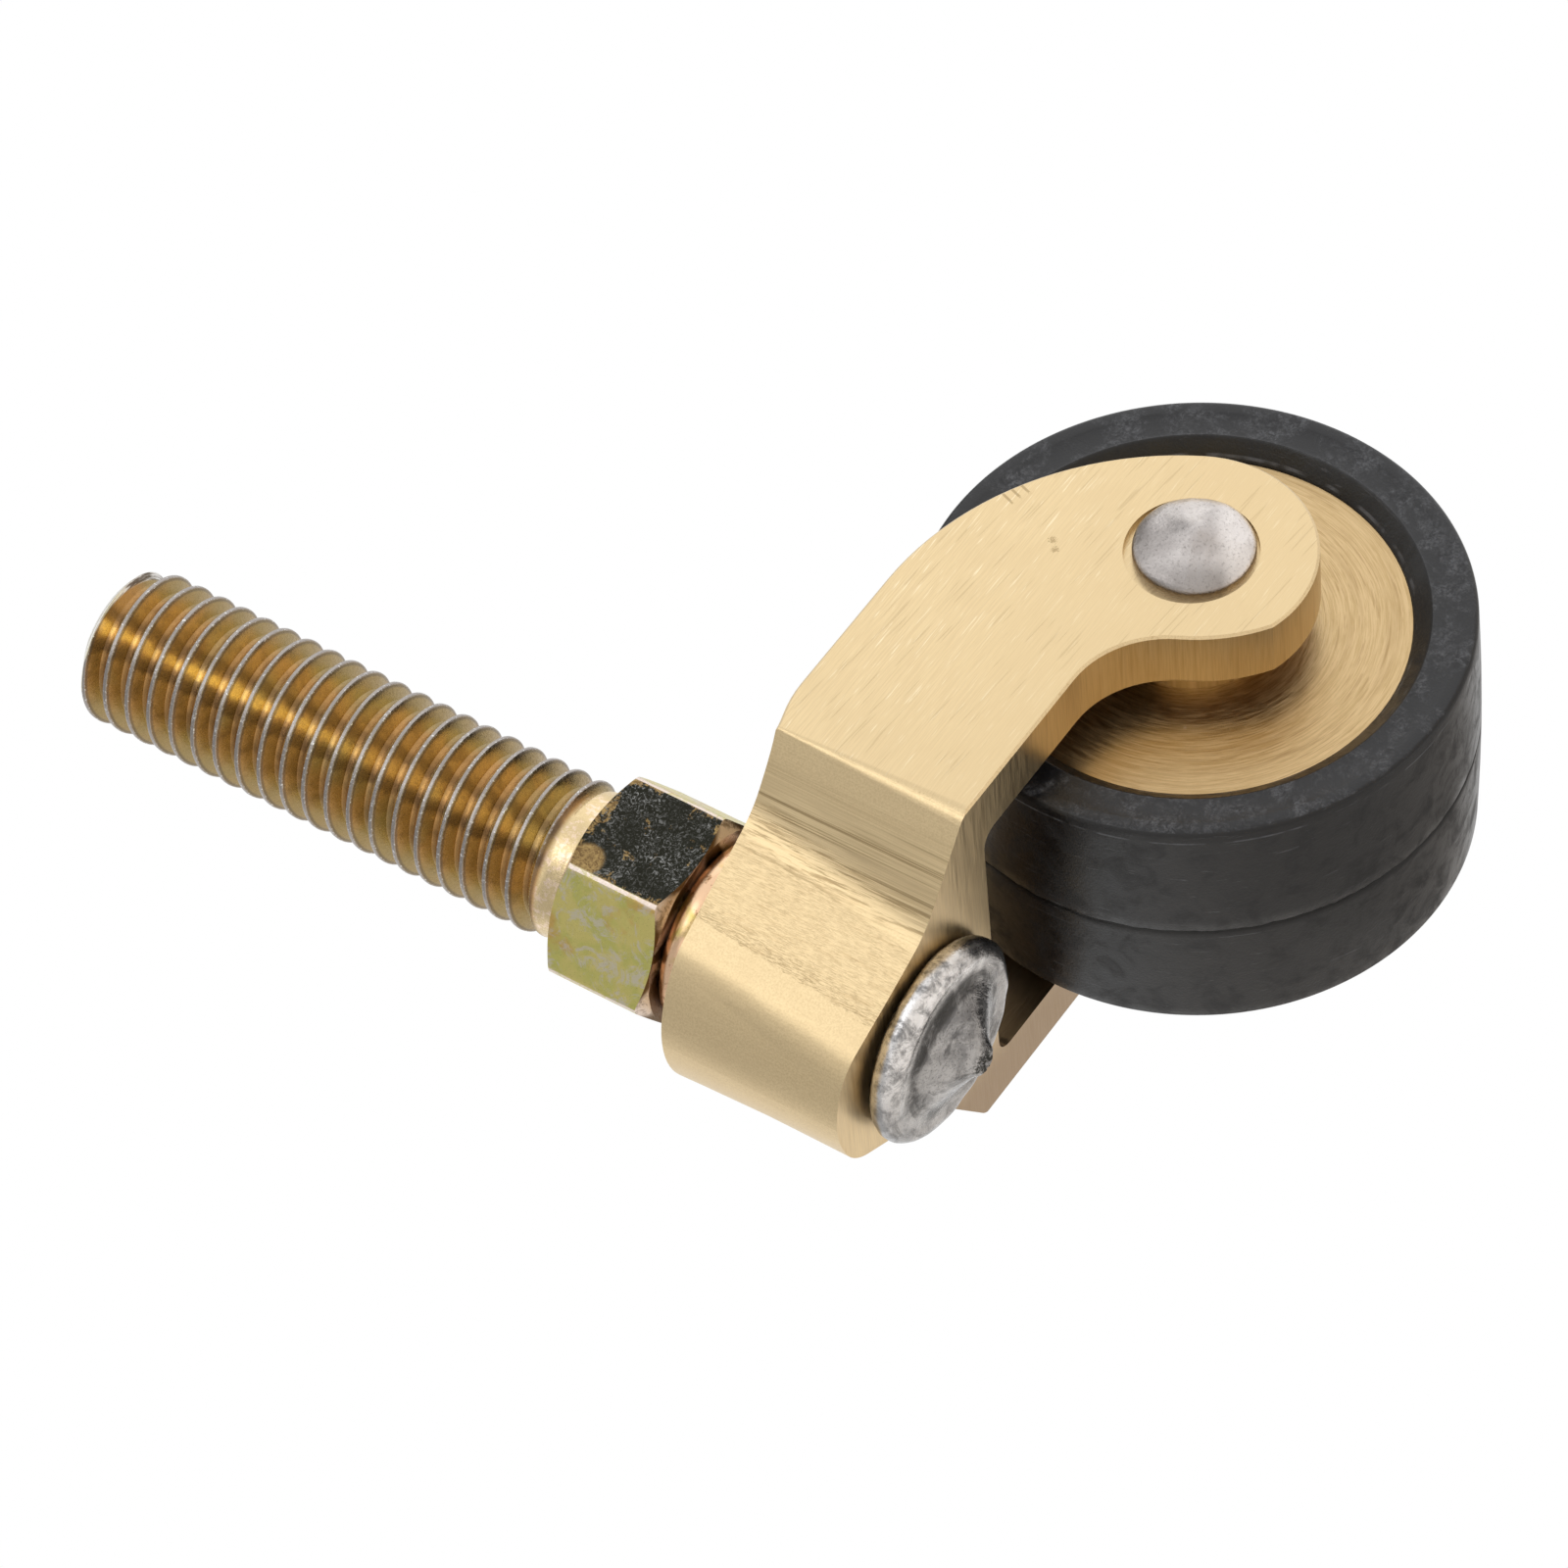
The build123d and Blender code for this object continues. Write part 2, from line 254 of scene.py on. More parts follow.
def lightRoom():
    world = bpy.data.worlds.new("whiteRoom")
    bpy.context.scene.world = world
    world.use_nodes = True
    tree = world.node_tree
    backdrop = tree.nodes["Background"]
    ray = put(tree, "LightPath").outputs
    seen = calc(tree, "MAXIMUM", ray["Is Camera Ray"], ray["Is Glossy Ray"])
    seen = calc(tree, "MAXIMUM", seen, ray["Is Transmission Ray"])
    level = put(tree, "MapRange", {"Value": seen, "To Min": lampSetup["roomFill"], "To Max": 1.0})
    backdrop.inputs["Color"].default_value = (1.0, 1.0, 1.0, 1.0)
    tree.links.new(level.outputs["Result"], backdrop.inputs["Strength"])


def addFloor():
    bpy.ops.object.select_all(action="DESELECT")
    bpy.ops.mesh.primitive_plane_add(size=floorSetup["size"], location=(0, 0, floorSetup["height"]))
    floor = bpy.context.object
    floor.name = "paleFloor"
    finish, tree, shader = newFinish("paleFloor", metallic=0.0, roughness=floorSetup["roughness"])
    shader.inputs["Base Color"].default_value = floorSetup["colour"]
    shader.inputs["Specular IOR Level"].default_value = floorSetup["specular"]
    shader.inputs["Emission Color"].default_value = floorSetup["shineColour"]
    mirrored = put(tree, "LightPath").outputs["Is Glossy Ray"]
    tree.links.new(times(tree, mirrored, floorSetup["shine"]), shader.inputs["Emission Strength"])
    # the floor fades out far from the object, and isn't there from below
    away = vectorCalc(tree, "LENGTH", put(tree, "TexCoord").outputs["Object"], out="Value")
    fade = step(tree, away, floorSetup["fadeFrom"], floorSetup["fadeTo"])
    gone = calc(tree, "MAXIMUM", fade, put(tree, "NewGeometry").outputs["Backfacing"])
    clear = put(tree, "BsdfTransparent").outputs[0]
    mix = put(tree, "MixShader", {"Fac": gone, 1: shader.outputs[0], 2: clear})
    tree.links.new(mix.outputs[0], tree.nodes["Material Output"].inputs["Surface"])
    floor.data.materials.append(finish)
    floor.visible_shadow = False  # the lamps below it still reach the underside


addCamera()
for lampName, lampValues in lampSetup["lamps"].items():
    addLamp(lampName, *lampValues)
for boardName, boardValues in boardSetup.items():
    addBoard(boardName, *boardValues)
lightRoom()
addFloor()
print("camera, lamps and floor placed")


# small helpers for modelling

def drawLine(name, points):
    # a chain of vertices, drawn as by hand: one vertex, extruded from point to point
    bpy.ops.object.select_all(action="DESELECT")
    bpy.ops.mesh.primitive_plane_add(size=0.1 * mm)
    drawn = bpy.context.object
    drawn.name = drawn.data.name = name
    bpy.ops.object.mode_set(mode="EDIT")
    bpy.ops.mesh.select_mode(type="VERT")
    bpy.ops.mesh.select_all(action="SELECT")
    bpy.ops.mesh.merge(type="CENTER")
    bpy.ops.transform.translate(value=Vector(points[0]))
    for here, there in zip(points, points[1:]):
        bpy.ops.mesh.extrude_region_move(TRANSFORM_OT_translate={"value": Vector(there) - Vector(here)})
    bpy.ops.mesh.select_all(action="SELECT")
    return drawn


def spinLine(name, points, axis, centre, steps):
    # a closed turned shape, from a line that starts and ends on the axis or is a loop
    spun = drawLine(name, points)
    bpy.ops.mesh.spin(steps=steps, angle=math.tau, center=centre, axis=axis)
    bpy.ops.mesh.select_all(action="SELECT")
    bpy.ops.mesh.remove_doubles(threshold=0.0005 * mm)
    bpy.ops.mesh.normals_make_consistent(inside=False)
    bpy.ops.object.mode_set(mode="OBJECT")
    return spun


def arcPoints(centre, radius, start, end, count):
    turns = [math.radians(start + (end - start) * i / count) for i in range(count + 1)]
    return [(centre[0] + radius * math.cos(t), centre[1] + radius * math.sin(t)) for t in turns]


def selectOnly(piece):
    bpy.ops.object.select_all(action="DESELECT")
    piece.select_set(True)
    bpy.context.view_layer.objects.active = piece


def smoothTo(piece, degrees):
    selectOnly(piece)
    bpy.ops.object.shade_smooth_by_angle(angle=math.radians(degrees))


def applyAll(piece):
    selectOnly(piece)
    for modifier in list(piece.modifiers):
        bpy.ops.object.modifier_apply(modifier=modifier.name)


def finishPiece(piece, body, finish, node):
    piece.data.materials.clear()
    piece.data.materials.append(finish)
    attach(piece, body)
    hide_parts(node)


# stem: thread and neck

stud = {
    "length": 26.4,
    "pitch": 1.283,
    "crestRadius": 3.92,
    "rootRadius": 3.20,
    "crestWidth": 0.16,
    "rootWidth": 0.36,
    "crestRound": 0.05,
    "crestEase": 0.012,
    "rootRound": 0.03,
    "steps": 90,
    "phase": 0.78,  # height of a crest at the azimuth below
    "phaseAzimuth": 147.7,
    "neckRadius": 3.68,
    "neckBottom": -1.46,
    "runOut": 0.75,  # length over which the thread runs out into the neck
    "endRadius": 3.48,
    "endChamfer": 0.38,
    "crestDents": 0.018,
    "smoothAngle": 38,
}


def threadProfile():
    # one pitch of the thread from root to root, as radius and height
    root, crest, pitch = stud["rootRadius"], stud["crestRadius"], stud["pitch"]
    rise = (pitch - stud["crestWidth"] - stud["rootWidth"]) / 2
    half = stud["rootWidth"] / 2
    flank = [
        (root, 0.0),
        (root, half * 0.6),
        (root + stud["rootRound"], half),
        (crest - stud["crestRound"], half + rise * 0.94),
        (crest - stud["crestEase"], half + rise),
    ]
    return flank + [(crest, pitch / 2)] + [(radius, pitch - height) for radius, height in reversed(flank)]


def studRadius(radius, height, azimuth):
    # the neck and the run-out below, the chamfer at the free end, and small dents along the crests
    blend = min(max(height / stud["runOut"], 0.0), 1.0)
    blend = blend * blend * (3 - 2 * blend)
    wanted = stud["neckRadius"] + (radius - stud["neckRadius"]) * blend
    left = (stud["length"] - height) / stud["endChamfer"]
    if left < 1:
        wanted = min(wanted, stud["endRadius"] + (stud["crestRadius"] - stud["endRadius"]) * left)
    if radius > stud["crestRadius"] - 0.03:
        dent = noise.noise(Vector((3 * math.cos(azimuth), 3 * math.sin(azimuth), height * 1.7)))
        wanted -= stud["crestDents"] * max(0.0, dent)
    return wanted


def makeStud():
    pitch = stud["pitch"]
    start = stud["phase"] - pitch / 2 - pitch * (stud["phaseAzimuth"] / 360 + 4)
    points = [(radius * mm, 0, (height + start) * mm) for radius, height in threadProfile()]
    piece = drawLine("threadedStud", points)
    bpy.ops.object.mode_set(mode="OBJECT")
    screw = piece.modifiers.new("thread", "SCREW")
    screw.angle = math.tau
    screw.screw_offset = pitch * mm
    screw.iterations = math.ceil((stud["length"] - stud["neckBottom"]) / pitch) + 6
    screw.steps = screw.render_steps = stud["steps"]
    screw.use_smooth_shade = True
    applyAll(piece)
    bpy.ops.object.mode_set(mode="EDIT")
    bpy.ops.mesh.select_all(action="SELECT")
    bpy.ops.mesh.remove_doubles(threshold=0.002 * mm)
    for height, upwards in ((stud["neckBottom"], False), (stud["length"], True)):
        bpy.ops.mesh.select_all(action="SELECT")
        bpy.ops.mesh.bisect(
            plane_co=(0, 0, height * mm), plane_no=(0, 0, 1), use_fill=True,
            clear_outer=upwards, clear_inner=not upwards, threshold=0.0005 * mm,
        )
    bpy.ops.mesh.select_all(action="SELECT")
    bpy.ops.mesh.normals_make_consistent(inside=False)
    bpy.ops.object.mode_set(mode="OBJECT")
    for vertex in piece.data.vertices:
        radius = math.hypot(vertex.co.x, vertex.co.y) / mm
        if radius < 1:
            continue
        wanted = studRadius(radius, vertex.co.z / mm, math.atan2(vertex.co.y, vertex.co.x))
        vertex.co.x *= wanted / radius
        vertex.co.y *= wanted / radius
    smoothTo(piece, stud["smoothAngle"])
    return piece


studPiece = makeStud()
print("stud made", len(studPiece.data.polygons))


# stem: hexagon

hexagon = {
    "acrossFlats": 9.75,
    "top": -1.45,
    "bottom": -7.0,
    "turn": 56.0,
    "cornerBevel": 0.30,
    "chamfer": 30.0,
    "turningOver": 0.5,  # how far the turning cut reaches past the corners
    "turningSteps": 96,
    "wornEdge": 0.07,
    "wornAngle": 14,
    "smoothAngle": 35,
}


def turningCutter(flat, corner):
    # the turned cone that chamfers both ends of the hexagon
    top, bottom, over = hexagon["top"], hexagon["bottom"], hexagon["turningOver"]
    drop = (corner - flat) * math.tan(math.radians(hexagon["chamfer"])) * (1 + over / (corner - flat))
    outline = [
        (0, bottom), (flat, bottom), (corner + over, bottom + drop),
        (corner + over, top - drop), (flat, top), (0, top),
    ]
    points = [(radius * mm, 0, height * mm) for radius, height in outline]
    return spinLine("hexagonTurning", points, (0, 0, 1), (0, 0, 0), hexagon["turningSteps"])


def makeHexagon():
    flat = hexagon["acrossFlats"] / 2
    corner = flat / math.cos(math.radians(30))
    middle = (hexagon["top"] + hexagon["bottom"]) / 2
    bpy.ops.object.select_all(action="DESELECT")
    bpy.ops.mesh.primitive_cylinder_add(
        vertices=6, radius=corner * mm, depth=(hexagon["top"] - hexagon["bottom"]) * mm,
        location=(0, 0, middle * mm), rotation=(0, 0, math.radians(hexagon["turn"] - 90)),
    )
    piece = bpy.context.object
    piece.name = piece.data.name = "spannerHexagon"
    bpy.ops.object.transform_apply(location=True, rotation=True, scale=True)
    bpy.ops.object.mode_set(mode="EDIT")
    mesh = bmesh.from_edit_mesh(piece.data)
    bpy.ops.mesh.select_all(action="DESELECT")
    bpy.ops.mesh.select_mode(type="EDGE")
    for edge in mesh.edges:
        edge.select = abs(edge.verts[0].co.z - edge.verts[1].co.z) > 1 * mm
    bmesh.update_edit_mesh(piece.data)
    bpy.ops.mesh.bevel(offset=hexagon["cornerBevel"] * mm, segments=3, affect="EDGES")
    bpy.ops.object.mode_set(mode="OBJECT")
    cutter = turningCutter(flat, corner)
    turning = piece.modifiers.new("turning", "BOOLEAN")
    turning.operation = "INTERSECT"
    turning.object = cutter
    turning.solver = "EXACT"
    worn = piece.modifiers.new("worn", "BEVEL")
    worn.width = hexagon["wornEdge"] * mm
    worn.segments = 2
    worn.limit_method = "ANGLE"
    worn.angle_limit = math.radians(hexagon["wornAngle"])
    applyAll(piece)
    bpy.data.objects.remove(cutter)
    smoothTo(piece, hexagon["smoothAngle"])
    flats = piece.modifiers.new("flats", "WEIGHTED_NORMAL")
    flats.weight = 100
    flats.keep_sharp = True
    applyAll(piece)
    return piece


hexagonPiece = makeHexagon()
print("hexagon made", len(hexagonPiece.data.polygons))


# stem: swivel pin and riveted head

head = {
    "pinRadius": 3.0,
    "pinTop": -7.0,
    "seat": -18.77,
    "rim": 4.35,
    "rimRound": 0.75,
    # from the rolled rim to the pip's pitted tip: radius, and distance below the seat
    "dish": (
        (3.72, 1.46), (3.35, 1.52), (2.95, 1.66), (2.5, 1.88), (2.05, 2.14), (1.65, 2.39), (1.3, 2.62),
        (1.05, 2.80), (0.86, 2.98), (0.74, 3.14), (0.58, 3.24), (0.4, 3.20), (0.24, 3.08), (0.1, 3.02),
        (0, 3.0),
    ),
    "pipRadius": 1.1,
    "pits": 0.10,
    "lift": 0.05,
    "swirls": 0.035,
    "lumps": 0.035,
    "rimFrom": 3.9,
    "rimShrink": 0.012,
    "steps": 160,
    "smoothAngle": 40,
}


def makeHead():
    seat, rim, rounding, pin = head["seat"], head["rim"], head["rimRound"], head["pinRadius"]
    outline = [(0, head["pinTop"]), (pin, head["pinTop"]), (pin, seat), (rim, seat)]
    outline += arcPoints((rim, seat - rounding), rounding, 80, -112, 14)
    outline += [(radius, seat - below) for radius, below in head["dish"]]
    points = [(radius * mm, 0, height * mm) for radius, height in outline]
    piece = spinLine("rivetedHead", points, (0, 0, 1), (0, 0, 0), head["steps"])
    for vertex in piece.data.vertices:
        height = vertex.co.z / mm
        if height > seat - 0.05:
            continue
        radius = math.hypot(vertex.co.x, vertex.co.y) / mm
        azimuth = math.atan2(vertex.co.y, vertex.co.x)
        spot = Vector((radius * math.cos(azimuth), radius * math.sin(azimuth), height))
        swirl = noise.noise(Vector((radius * 2.2, 1.3 * math.cos(azimuth), 1.3 * math.sin(azimuth))))
        lump = noise.noise(spot * 0.9)
        pit = noise.noise(spot * 4.5) if radius < head["pipRadius"] else 0.0
        lift = head["lift"] + head["swirls"] * swirl + head["lumps"] * lump + head["pits"] * max(0.0, pit)
        vertex.co.z += max(0.0, lift) * mm
        if radius > head["rimFrom"]:
            shrink = 1 - head["rimShrink"] * (0.5 + lump)
            vertex.co.x *= shrink
            vertex.co.y *= shrink
    smoothTo(piece, head["smoothAngle"])
    return piece


headPiece = makeHead()
print("riveted head made", len(headPiece.data.polygons))


# axle rivet

rivet = {
    "axle": (-22.3, -19.31),
    "shift": -0.23,  # the hammered heads sit a little off the pin
    "pinRadius": 2.0,
    "seat": 10.75,
    "rimStart": 11.4,
    "tip": 12.43,
    "radius": 2.83,
    # the dome: distance past rimStart, and how far inside the rim
    "dome": (
        (-0.22, 0.0), (-0.06, 0.05), (0.08, 0.2), (0.25, 0.58), (0.42, 1.05), (0.58, 1.5),
        (0.76, 1.95), (0.92, 2.35),
    ),
    "hammered": 0.07,
    "sunk": 0.05,
    "steps": 128,
    "smoothAngle": 40,
}


def makeRivet():
    rim, start, tip = rivet["radius"], rivet["rimStart"], rivet["tip"]
    half = [(0.0, rivet["pinRadius"]), (rivet["seat"], rivet["pinRadius"]), (rivet["seat"], rim)]
    half += [(start + past, rim - inside) for past, inside in rivet["dome"]]
    half += [(tip - 0.03, 0.22), (tip, 0.0)]
    line = [(-y, radius) for y, radius in reversed(half[1:])] + half
    axleX, axleZ = rivet["axle"]
    points = [(axleX * mm, y * mm, (axleZ + radius) * mm) for y, radius in line]
    piece = spinLine("hammeredRivet", points, (0, 1, 0), (axleX * mm, 0, axleZ * mm), rivet["steps"])
    for vertex in piece.data.vertices:
        y = vertex.co.y / mm
        if abs(y) < rivet["seat"] - 0.01:
            continue
        vertex.co.x += rivet["shift"] * mm
        across = Vector((vertex.co.x / mm, math.copysign(3.0, y), vertex.co.z / mm))
        facet = noise.noise(across * 0.75) + 0.5 * noise.noise(across * 2.2)
        if abs(y) > start - 0.3:
            vertex.co.y -= math.copysign((rivet["sunk"] + rivet["hammered"] * facet) * mm, y)
    smoothTo(piece, rivet["smoothAngle"])
    return piece


rivetPiece = makeRivet()
print("axle rivet made", len(rivetPiece.data.polygons))


# tyre

tyre = {
    "axle": (-22.3, -19.31),
    "tread": 13.10,
    "shoulder": 12.97,
    "crownHalf": 6.35,  # distance from the middle at which the tread is down to the shoulder
    "crownAt": (0.6, 1.5, 2.6, 3.8, 5.0, 6.0),
    "edgeRadius": 0.28,
    "side": 6.75,
    # the face from its edge to the recess: distance inside the side, and radius
    "face": (
        (0.0, 12.3), (0.01, 12.2), (0.03, 12.12), (0.04, 11.5), (0.04, 11.05),
        (0.03, 10.93), (0.02, 10.87), (0.06, 10.80), (0.16, 10.72),
    ),
    "rim": 9.97,
    "rimFace": 5.92,
    "foot": 3.8,
    "footRadius": 8.67,
    "parting": -0.17,
    # the parting groove: distance from its middle, and depth
    "partingShape": ((-0.14, 0.0), (-0.05, 0.035), (0.0, 0.09), (0.05, 0.03), (0.14, 0.0)),
    "partingWander": 0.10,
    "partingRagged": 0.05,
    "partingDeeper": 0.03,
    "partingReach": 0.2,  # how far from its middle the groove is made ragged
    "partingFloor": 0.08,
    "treadFrom": 12.95,
    "steps": 300,
    "smoothAngle": 35,
}


def crown(y):
    return tyre["tread"] - (tyre["tread"] - tyre["shoulder"]) * (y / tyre["crownHalf"]) ** 2


def makeTyre():
    side, seam, edge = tyre["side"], tyre["parting"], tyre["edgeRadius"]
    right = [(y, crown(y)) for y in tyre["crownAt"]]
    right += arcPoints((side - edge, tyre["shoulder"] - edge), edge, 80, 0, 5)
    right += [(side - inside, radius) for inside, radius in tyre["face"]]
    right += [
        (tyre["rimFace"] + 0.1, tyre["rim"] + 0.06), (tyre["rimFace"], tyre["rim"]),
        (tyre["foot"], tyre["rim"]), (tyre["foot"], tyre["footRadius"]),
    ]
    left = [(-y, radius) for y, radius in reversed(right)]
    middle = [(seam + away, crown(seam) - depth) for away, depth in tyre["partingShape"]]
    line = left + middle + right
    line.append(line[0])
    axleX, axleZ = tyre["axle"]
    points = [(axleX * mm, y * mm, (axleZ + radius) * mm) for y, radius in line]
    piece = spinLine("rubberTyre", points, (0, 1, 0), (axleX * mm, 0, axleZ * mm), tyre["steps"])
    for vertex in piece.data.vertices:
        x, z = vertex.co.x / mm - axleX, vertex.co.z / mm - axleZ
        fromSeam = abs(vertex.co.y / mm - seam)
        if math.hypot(x, z) > tyre["treadFrom"] and fromSeam < tyre["partingReach"]:
            turn = math.atan2(z, x)
            wander = noise.noise(Vector((14 * math.cos(turn), 14 * math.sin(turn), 2.0)))
            rough = noise.noise(Vector((40 * math.cos(turn), 40 * math.sin(turn), 5.0)))
            vertex.co.y += (tyre["partingWander"] * wander + tyre["partingRagged"] * rough) * mm
            onFloor = fromSeam < tyre["partingFloor"]
            deeper = max(0.0, tyre["partingDeeper"] * rough) * mm if onFloor else 0.0
            vertex.co.x -= deeper * math.cos(turn)
            vertex.co.z -= deeper * math.sin(turn)
    smoothTo(piece, tyre["smoothAngle"])
    return piece


tyrePiece = makeTyre()
print("tyre made", len(tyrePiece.data.polygons))


# brass of the fork

forkBrass = {
    "pale": (0.79, 0.62, 0.365),
    "middle": (0.69, 0.53, 0.305),
    "deep": (0.53, 0.38, 0.20),
    "line": (0.34, 0.24, 0.12),
    "bright": (0.98, 0.86, 0.62),
    "shade": (0.27, 0.175, 0.10),
    "blockFrom": -4.25,  # x where the cheeks end and the block begins
    "bendFrom": (-3.6, -2.3),
    "bendTo": (0.4, -0.8),
    # the ragged line where the flank's filing ends: x, its lean with height, how ragged
    "filedTo": (3.2, 3.1),
    "filedLean": 0.046,
    "filedRagged": 0.7,
    # how much the brushing is drawn out along X, Y and Z
    "cheekBrushing": (0.03, 0.3, 1.0),
    "blockBrushing": (1.0, 1.0, 0.02),
    "underBrushing": (1.0, 0.03, 1.0),
    "crispLines": (0.045, 0.3, 1.0),
    "drawnLines": (1.0, 1.0, 0.006),
    "speckLines": (1.0, 1.0, 0.06),
    "strayLines": (0.035, 0.3, 1.0),
    "strayTilt": 0.07,
    # tool marks by the near cheek's rim, with their slant and spacing, and two dents
    "hatch": (-21.1, 11.1, -10.5),
    "hatchSlant": 1.91,
    "hatchPerTurn": 13.0,
    "dents": ((-19.66, 11.1, -13.55), (-19.25, 11.1, -13.95)),
    "slotHalf": (8.2, 8.0),
    "reliefDepth": 0.014,
}


def brassZones(tree, spot):
    # masks for the faces of the fork, and how crowded the filed flank's specks are
    x, _, z = splitAxes(tree, spot)
    _, ny, nz = surfaceNormal(tree)
    sideways = calc(tree, "ABSOLUTE", ny)
    level = step(tree, calc(tree, "ABSOLUTE", nz), 0.45, 0.6)
    cheek = step(tree, sideways, 0.965, 0.985)
    block = times(tree, calc(tree, "GREATER_THAN", x, forkBrass["blockFrom"]), opposite(tree, level))
    block = times(tree, block, opposite(tree, cheek))
    # the flank is filed as far as a ragged line, and satin past it
    wander = cloud(tree, stretched(tree, spot, (1.0, 1.0, 0.8)), 2.2, 4.0, 0.7)
    reach = scaledOnto(tree, calc(tree, "ADD", z, 8.9), forkBrass["filedLean"], x)
    reach = scaledOnto(tree, calc(tree, "SUBTRACT", wander, 0.5), forkBrass["filedRagged"], reach)
    filed = times(tree, block, step(tree, sideways, 0.86, 0.89), step(tree, reach, *forkBrass["filedTo"]))
    hollow = times(tree, step(tree, x, *forkBrass["bendFrom"]), step(tree, x, *forkBrass["bendTo"]))
    bend = times(tree, block, hollow)
    satin = times(tree, block, opposite(tree, calc(tree, "MAXIMUM", filed, bend)))
    crowd = step(tree, reach, 2.0, 3.1, 0.34, 0.66)
    crowd = calc(tree, "ADD", crowd, step(tree, wander, 0.40, 0.70, 0.0, 0.15))
    return cheek, level, block, filed, bend, satin, crowd


def toolMarks(tree, spot, grain):
    # three short tool marks side by side, and two dents lower down
    slanted = turned(tree, spot, forkBrass["hatchSlant"], forkBrass["hatch"])
    hx, _, hz = splitAxes(tree, vectorCalc(tree, "SUBTRACT", slanted, forkBrass["hatch"]))
    lines = step(tree, calc(tree, "SINE", times(tree, hz, forkBrass["hatchPerTurn"])), 0.45, 0.85)
    ends = scaledOnto(tree, grain, 0.9, calc(tree, "ABSOLUTE", hx))
    patch = times(tree, step(tree, calc(tree, "ABSOLUTE", hz), 0.78, 0.70), step(tree, ends, 1.0, 0.75))
    hatch = times(tree, lines, patch)
    for dent in forkBrass["dents"]:
        away = scaledOnto(tree, grain, 0.7, vectorCalc(tree, "DISTANCE", spot, dent, out="Value"))
        hatch = calc(tree, "MAXIMUM", hatch, step(tree, away, 0.56, 0.42))
    return hatch


def makeForkBrass():
    finish, tree, shader = newFinish("brushedForkBrass")
    spot = millimetres(tree)
    x, y, z = splitAxes(tree, spot)
    nz = surfaceNormal(tree)[2]
    cheek, level, block, filed, bend, satin, crowd = brassZones(tree, spot)
    # brushed along X on the cheeks, along Z on the block's sides, and along Y underneath
    brushing = mixVector(tree, block, forkBrass["underBrushing"], forkBrass["blockBrushing"])
    brushing = mixVector(tree, cheek, brushing, forkBrass["cheekBrushing"])
    brushed = stretched(tree, spot, brushing)
    fine = cloud(tree, brushed, 15.0, 2.0, 0.6)
    broad = cloud(tree, brushed, 5.5, 2.0, 0.5)
    soft = cloud(tree, spot, 0.30, 2.0)
    grain = cloud(tree, spot, 11.0, 2.0, 0.6)
    hair = mixValue(tree, satin, fine, scaledOnto(tree, fine, 0.25, times(tree, grain, 0.75)))
    colour = mixColour(tree, step(tree, hair, 0.34, 0.64), forkBrass["middle"], forkBrass["pale"])
    streaky = scaledOnto(tree, calc(tree, "MAXIMUM", cheek, satin), -0.85, 1.0)
    streaky = times(tree, step(tree, broad, 0.54, 0.74, 0.0, 0.45), streaky)
    colour = mixColour(tree, streaky, colour, forkBrass["deep"])
    colour = mixColour(tree, step(tree, soft, 0.4, 0.7, 0.0, 0.3), colour, forkBrass["middle"])
    # crisp light scratches along the cheeks, which are a little duller low down
    crisp = cloud(tree, stretched(tree, spot, forkBrass["crispLines"]), 9.0, 2.0, 0.8)
    crisp = times(tree, step(tree, crisp, 0.60, 0.68), cheek, 0.60)
    colour = mixColour(tree, crisp, colour, forkBrass["bright"])
    dull = times(tree, step(tree, z, -9.0, -20.0, 0.0, 0.55), cheek)
    colour = mixColour(tree, dull, colour, forkBrass["middle"])
    # long drawn lines in the hollow
    drawn = cloud(tree, stretched(tree, spot, forkBrass["drawnLines"]), 6.5, 4.0, 0.7)
    drawn = times(tree, step(tree, drawn, 0.47, 0.62), bend, 0.85)
    colour = mixColour(tree, drawn, colour, forkBrass["line"])
    # short dark specks along Z on the flank, thickest just before the filing ends
    specks = cloud(tree, stretched(tree, spot, forkBrass["speckLines"]), 24.0, 3.0, 0.8)
    specks = times(tree, step(tree, specks, 0.44, 0.62), filed, crowd)
    colour = mixColour(tree, specks, colour, forkBrass["line"])
    # stray scratches on the cheeks, nearly along the brushing
    tilted = turned(tree, spot, forkBrass["strayTilt"])
    marks = cloud(tree, stretched(tree, tilted, forkBrass["strayLines"]), 10.0, 0.0)
    marks = times(tree, step(tree, marks, 0.70, 0.78), cheek)
    colour = mixColour(tree, times(tree, marks, 0.22), colour, forkBrass["line"])
    hatch = times(tree, toolMarks(tree, spot, grain), cheek, 0.65)
    colour = mixColour(tree, hatch, colour, forkBrass["line"])
    # painted shade inside the slot and under the far half of the foot, in a darker brown
    inside = step(tree, calc(tree, "ABSOLUTE", y), *forkBrass["slotHalf"], 0.0, 0.80)
    inside = times(tree, inside, calc(tree, "SUBTRACT", step(tree, x, -1.0, -4.5), level, clamp=True))
    farFootShade = times(tree, step(tree, y, -3.0, -9.0, 0.0, 0.85), step(tree, nz, -0.5, -0.8))
    colour = mixColour(tree, calc(tree, "MAXIMUM", inside, farFootShade), colour, forkBrass["shade"])
    roughness = mixValue(tree, satin, step(tree, hair, 0.3, 0.7, 0.28, 0.40), 0.38)
    height = scaledOnto(tree, marks, -1.2, scaledOnto(tree, broad, 0.6, hair))
    height = scaledOnto(tree, calc(tree, "ADD", drawn, specks), -0.8, height)
    wire(tree, shader, colour, height, 0.30, forkBrass["reliefDepth"], roughness)
    return finish


# turned brass of the wheel

